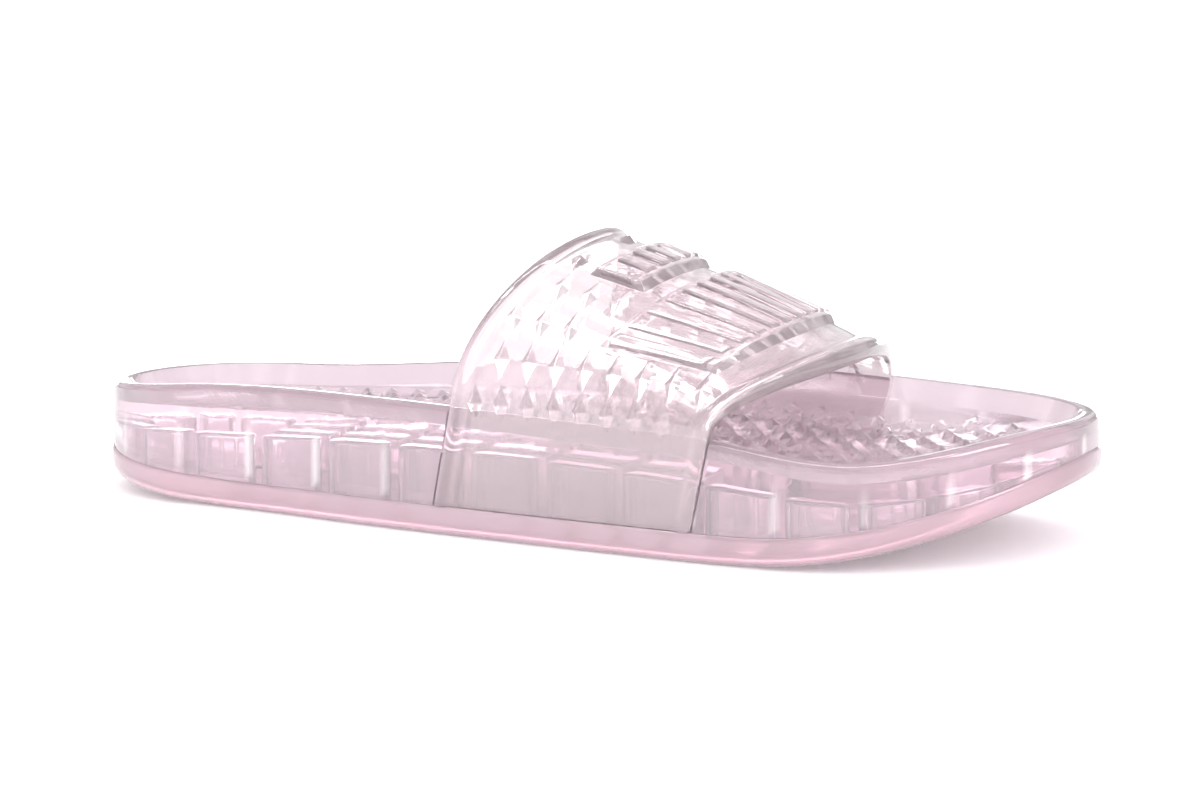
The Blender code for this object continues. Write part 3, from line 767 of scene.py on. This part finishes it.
def pad(name, shares, places, low, high, slope, count):
    """A grid bent over the strap, extruded down to a slightly larger foot, with soft edges."""
    deselect_all()
    bpy.ops.mesh.primitive_grid_add(
        x_subdivisions=count[0], y_subdivisions=count[1], size=2, location=(0, 0, 0)
    )
    piece = bpy.context.object
    piece.name = name
    across, length = slope / arch_length(0.5), slope / STRAP_LENGTH
    bpy.ops.object.mode_set(mode="EDIT")
    bpy.ops.mesh.select_all(action="SELECT")
    spots = [tuple(vertex.co.xy) for vertex in bmesh.from_edit_mesh(piece.data).verts]
    layers = ((high, 1.0, False), (low, 0.0, True))
    for out, drawn_in, extrude in layers:
        if extrude:
            mesh = bmesh.from_edit_mesh(piece.data)
            number = mesh.verts.layers.int.new("number")
            for index, vertex in enumerate(mesh.verts):
                vertex[number] = index
            bmesh.update_edit_mesh(piece.data)
            bpy.ops.mesh.extrude_region_move()
        mesh = bmesh.from_edit_mesh(piece.data)
        number = mesh.verts.layers.int.get("number")
        for index, vertex in enumerate(mesh.verts):
            if not vertex.select:
                continue
            u, v = spots[vertex[number] if extrude else index]
            share = np.interp(u, (-1, 1), (shares[0] + drawn_in * across, shares[1] - drawn_in * across))
            place = np.interp(v, (-1, 1), (places[0] + drawn_in * length, places[1] - drawn_in * length))
            vertex.co = on_strap(float(share), float(place), out)
        bmesh.update_edit_mesh(piece.data)
    bpy.ops.mesh.select_all(action="SELECT")
    bpy.ops.mesh.normals_make_consistent(inside=False)
    bpy.ops.mesh.select_all(action="DESELECT")
    bpy.ops.mesh.select_mode(type="EDGE")
    bpy.ops.mesh.edges_select_sharp(sharpness=math.radians(PAD_CREASE_ANGLE))
    bpy.ops.mesh.bevel(offset=PAD_SOFTNESS, segments=2)
    bpy.ops.object.mode_set(mode="OBJECT")
    return piece


for row in PLATES:
    plate = dict(zip(PLATE_COLUMNS, row))
    shares, places = (plate["lateral"], plate["medial"]), (plate["rear"], plate["front"])
    count = (round(90 * (shares[1] - shares[0])), round(40 * (places[1] - places[0])))
    low, high = WALL - BAR_SINK, WALL + PLATE_RAISE
    combine(strap, pad("plate", shares, places, low, high, 1.2 * PLATE_RAISE, count), "UNION")
    step = (shares[1] - shares[0]) / plate["bars"]
    margin = 2 * PLATE_RAISE / STRAP_LENGTH
    made = []
    for number in range(plate["bars"]):
        middle = shares[0] + (number + 0.5) * step
        sides = (middle - 0.36 * step, middle + 0.36 * step)
        ends = (places[0] + margin, places[1] - margin)
        low, high = WALL + PLATE_RAISE - BAR_SINK, WALL + PLATE_RAISE + BAR_RAISE
        made.append(pad("bar", sides, ends, low, high, 0.5 * BAR_RAISE, (3, count[1])))
    deselect_all()
    for bar in made:
        bar.select_set(True)
    bpy.context.view_layer.objects.active = made[0]
    bpy.ops.object.join()
    combine(strap, made[0], "UNION")
    print("plate with", plate["bars"], "bars, strap has", len(strap.data.polygons), "faces")
close_up(strap)

# %% [markdown]
# ## See-through soft plastic
#
# Soft PVC takes light in, bends it, and lets it out tinted: the thicker it is, the deeper the pink. So the
# tint sits in the volume, as absorption, and hardly in the surface. A little of the shader stays opaque,
# which gives the milky look of a soft plastic, and a clear coat keeps the reflections sharp. A moulded
# surface is never quite flat, so a fine noise and a slow flow ripple go into the bump.


# %% Plastic
def jelly(name, surface, depth, density, clear, milk, rough, ripple):
    """A see-through plastic: its tint on the surface and in depth, and how clear and milky it is."""
    material = bpy.data.materials.new(name)
    material.use_nodes = True
    nodes, links = material.node_tree.nodes, material.node_tree.links
    shader = nodes["Principled BSDF"]
    place = nodes.new("ShaderNodeTexCoord")

    def noise(scale, detail):
        node = nodes.new("ShaderNodeTexNoise")
        node.inputs["Scale"].default_value = scale
        node.inputs["Detail"].default_value = detail
        links.new(place.outputs["Object"], node.inputs["Vector"])
        return node

    clouds = noise(34.0, 3.0)
    mix = nodes.new("ShaderNodeMix")
    mix.data_type = "RGBA"
    links.new(clouds.outputs["Fac"], mix.inputs["Factor"])
    mix.inputs["A"].default_value = (*surface, 1.0)
    mix.inputs["B"].default_value = (*[min(1.0, 0.85 * value + 0.12) for value in surface], 1.0)
    links.new(mix.outputs["Result"], shader.inputs["Base Color"])

    grain = noise(210.0, 2.0)
    spread = nodes.new("ShaderNodeMapRange")
    spread.inputs["To Min"].default_value = 0.6 * rough
    spread.inputs["To Max"].default_value = 1.5 * rough
    links.new(grain.outputs["Fac"], spread.inputs["Value"])
    links.new(spread.outputs["Result"], shader.inputs["Roughness"])

    flow = nodes.new("ShaderNodeBump")
    flow.inputs["Strength"].default_value = 1.0
    flow.inputs["Distance"].default_value = ripple
    links.new(noise(75.0, 1.5).outputs["Fac"], flow.inputs["Height"])
    peel = nodes.new("ShaderNodeBump")
    peel.inputs["Strength"].default_value = 0.35
    peel.inputs["Distance"].default_value = 0.00006
    links.new(noise(900.0, 2.0).outputs["Fac"], peel.inputs["Height"])
    links.new(flow.outputs["Normal"], peel.inputs["Normal"])
    links.new(peel.outputs["Normal"], shader.inputs["Normal"])

    shader.inputs["Transmission Weight"].default_value = clear
    shader.inputs["Subsurface Weight"].default_value = milk
    shader.inputs["Subsurface Radius"].default_value = (1.0, 0.7, 0.8)
    shader.inputs["Subsurface Scale"].default_value = 0.005
    shader.inputs["IOR"].default_value = 1.45
    shader.inputs["Coat Weight"].default_value = 1.0
    shader.inputs["Coat Roughness"].default_value = 0.03
    absorb = nodes.new("ShaderNodeVolumeAbsorption")
    absorb.inputs["Color"].default_value = (*depth, 1.0)
    absorb.inputs["Density"].default_value = density
    links.new(absorb.outputs["Volume"], nodes["Material Output"].inputs["Volume"])
    return material


def with_painted_streaks(material, glow):
    """Painted highlight: white plastic with a little glow where the piece's points carry a streak."""
    nodes, links = material.node_tree.nodes, material.node_tree.links
    shader = nodes["Principled BSDF"]
    painted_streak = nodes.new("ShaderNodeAttribute")
    painted_streak.attribute_name = "painted_streak"
    whiten = nodes.new("ShaderNodeMix")
    whiten.data_type = "RGBA"
    whiten.inputs["B"].default_value = (1.0, 1.0, 1.0, 1.0)
    links.new(painted_streak.outputs["Fac"], whiten.inputs["Factor"])
    links.new(shader.inputs["Base Color"].links[0].from_socket, whiten.inputs["A"])
    links.new(whiten.outputs["Result"], shader.inputs["Base Color"])
    # The painted streaks also glow a little, as painted light and not a lamp.
    share = nodes.new("ShaderNodeMath")
    share.operation = "MULTIPLY"
    share.inputs[1].default_value = glow
    links.new(painted_streak.outputs["Fac"], share.inputs[0])
    links.new(share.outputs["Value"], shader.inputs["Emission Strength"])
    shader.inputs["Emission Color"].default_value = (1.0, 0.97, 0.98, 1.0)


# Each pair is a plastic's surface tint and its tint in depth.
DEEP_PINK = ((0.89, 0.65, 0.73), (0.93, 0.58, 0.70))
PALE_PINK = ((0.95, 0.82, 0.88), (0.96, 0.55, 0.72))
CLEAR_PINK = ((0.93, 0.83, 0.86), (0.92, 0.72, 0.78))
# How strongly the painted light streaks on the midsole glow.
PAINTED_STREAK_GLOW = 0.4
FINISHES = {
    "outsole": jelly("deep_pink_jelly", *DEEP_PINK, 12.0, 0.56, 0.3, 0.20, 0.0002),
    "midsole": jelly("pale_pink_jelly", *PALE_PINK, 8.0, 0.77, 0.0, 0.06, 0.0003),
    "strap": jelly("clear_pink_jelly", *CLEAR_PINK, 12.0, 0.83, 0.0, 0.05, 0.0003),
}
with_painted_streaks(FINISHES["midsole"], PAINTED_STREAK_GLOW)
for node, piece in (("outsole", outsole), ("midsole", midsole), ("strap", strap)):
    piece.data.materials.clear()
    piece.data.materials.append(FINISHES[node])
    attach(piece, "root")
    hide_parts(node)
    print(node, sum(len(face.vertices) - 2 for face in piece.data.polygons), "triangles")

# %% [markdown]
# ## Floor, light and exposure
#
# A bright studio: a white floor without a horizon, a soft light all round, and lamps that draw the long
# reflections. Clear plastic shows what is around it, so the room is a little darker towards the camera's
# side. Without that the strap would vanish in white. Two of the lamps light the strap alone: the sole would
# mirror them too, and the photo shows no such patch on it.

# %% Studio
EXPOSURE = 0.34
NEAR_GLOW = 0.65
DIRECT_GLOW = 0.15


def direct_view(nodes, links):
    """1 for what the camera sees itself and for soft light, 0 for what plastic mirrors or lets through."""
    path = nodes.new("ShaderNodeLightPath")
    either = nodes.new("ShaderNodeMath")
    either.operation, either.use_clamp = "MAXIMUM", True
    links.new(path.outputs["Is Camera Ray"], either.inputs[0])
    links.new(path.outputs["Diffuse Depth"], either.inputs[1])
    return either.outputs["Value"]


deselect_all()
bpy.ops.mesh.primitive_plane_add(size=40, location=(0, 0, 0))
floor = bpy.context.object
floor.name = "studio_floor"
paper = bpy.data.materials.new("white_paper")
paper.use_nodes = True
nodes, links = paper.node_tree.nodes, paper.node_tree.links
nodes["Principled BSDF"].inputs["Roughness"].default_value = 0.9
nodes["Principled BSDF"].inputs["Emission Color"].default_value = (1.0, 0.98, 1.0, 1)
place = nodes.new("ShaderNodeTexCoord")
split = nodes.new("ShaderNodeSeparateXYZ")
links.new(place.outputs["Object"], split.inputs["Vector"])
near = nodes.new("ShaderNodeMapRange")
near.inputs["From Min"].default_value, near.inputs["From Max"].default_value = 0.02, -0.12
near.inputs["To Min"].default_value, near.inputs["To Max"].default_value = 0.0, NEAR_GLOW
links.new(split.outputs["Y"], near.inputs["Value"])
glow = nodes.new("ShaderNodeMix")
glow.inputs["B"].default_value = DIRECT_GLOW
links.new(direct_view(nodes, links), glow.inputs["Factor"])
links.new(near.outputs["Result"], glow.inputs["A"])
links.new(glow.outputs["Result"], nodes["Principled BSDF"].inputs["Emission Strength"])
tone = nodes.new("ShaderNodeMix")
tone.data_type = "RGBA"
tone.inputs["A"].default_value = (0.85, 0.84, 0.85, 1)
tone.inputs["B"].default_value = (0.95, 0.94, 0.95, 1)
links.new(direct_view(nodes, links), tone.inputs["Factor"])
links.new(tone.outputs["Result"], nodes["Principled BSDF"].inputs["Base Color"])
floor.data.materials.append(paper)

world = bpy.data.worlds.new("studio_room")
world.use_nodes = True
bpy.context.scene.world = world
nodes, links = world.node_tree.nodes, world.node_tree.links
place = nodes.new("ShaderNodeTexCoord")
split = nodes.new("ShaderNodeSeparateXYZ")
links.new(place.outputs["Generated"], split.inputs["Vector"])
shade = nodes.new("ShaderNodeValToRGB")
shade.color_ramp.elements[0].position, shade.color_ramp.elements[0].color = 0.30, (1.0, 0.98, 1.0, 1)
shade.color_ramp.elements[1].position, shade.color_ramp.elements[1].color = 0.62, (0.58, 0.57, 0.58, 1)
lift = nodes.new("ShaderNodeMath")
lift.operation = "MULTIPLY_ADD"
lift.inputs[1].default_value, lift.inputs[2].default_value = 0.5, 0.5
links.new(split.outputs["Y"], lift.inputs[0])
links.new(lift.outputs["Value"], shade.inputs["Fac"])
panes = nodes.new("ShaderNodeTexNoise")
panes.inputs["Scale"].default_value, panes.inputs["Detail"].default_value = 4.0, 1.0
links.new(place.outputs["Generated"], panes.inputs["Vector"])
contrast = nodes.new("ShaderNodeMapRange")
contrast.inputs["From Min"].default_value, contrast.inputs["From Max"].default_value = 0.40, 0.60
contrast.inputs["To Min"].default_value, contrast.inputs["To Max"].default_value = 0.65, 1.35
links.new(panes.outputs["Fac"], contrast.inputs["Value"])
room = nodes.new("ShaderNodeVectorMath")
room.operation = "SCALE"
links.new(shade.outputs["Color"], room.inputs["Vector"])
links.new(contrast.outputs["Result"], room.inputs["Scale"])
tone = nodes.new("ShaderNodeMix")
tone.data_type = "RGBA"
tone.inputs["B"].default_value = (1.1, 1.09, 1.1, 1)
links.new(direct_view(nodes, links), tone.inputs["Factor"])
links.new(room.outputs["Vector"], tone.inputs["A"])
links.new(tone.outputs["Result"], nodes["Background"].inputs["Color"])
nodes["Background"].inputs["Strength"].default_value = 1.0

LAMPS = (
    ("window", (-0.25, -0.46, 0.80), 0.50, 0.17, 3.0),
    ("card", (-0.31, -0.65, 0.69), 0.50, 0.22, 0.9),
    ("strip", (0.05, -0.18, 1.10), 1.30, 0.10, 4.0),
    ("front", (0.95, -0.20, 0.60), 0.30, 0.50, 2.0),
    ("back", (-0.42, 0.92, 0.07), 1.30, 0.13, 1.3),
)
only_strap = bpy.data.collections.new("only_strap")
only_strap.objects.link(strap)
for name, spot, width, height, power in LAMPS:
    deselect_all()
    bpy.ops.object.light_add(type="AREA", location=spot)
    lamp = bpy.context.object
    lamp.name = name
    lamp.rotation_euler = (Vector((0.02, -0.03, 0.05)) - Vector(spot)).to_track_quat("-Z", "Y").to_euler()
    lamp.data.shape = "RECTANGLE"
    lamp.data.size, lamp.data.size_y, lamp.data.energy = width, height, power
    lamp.visible_diffuse = False  # the lamps draw reflections, and the room gives the soft light
    if name in ("window", "card"):
        lamp.light_linking.receiver_collection = only_strap

scene = bpy.context.scene
scene.view_settings.view_transform = "Standard"
scene.view_settings.exposure = EXPOSURE
scene.cycles.max_bounces = 10
scene.cycles.transmission_bounces = 10
scene.cycles.glossy_bounces = 3
scene.cycles.diffuse_bounces = 2
scene.cycles.adaptive_threshold = 0.05
scene.cycles.use_denoising = True
print("studio ready")
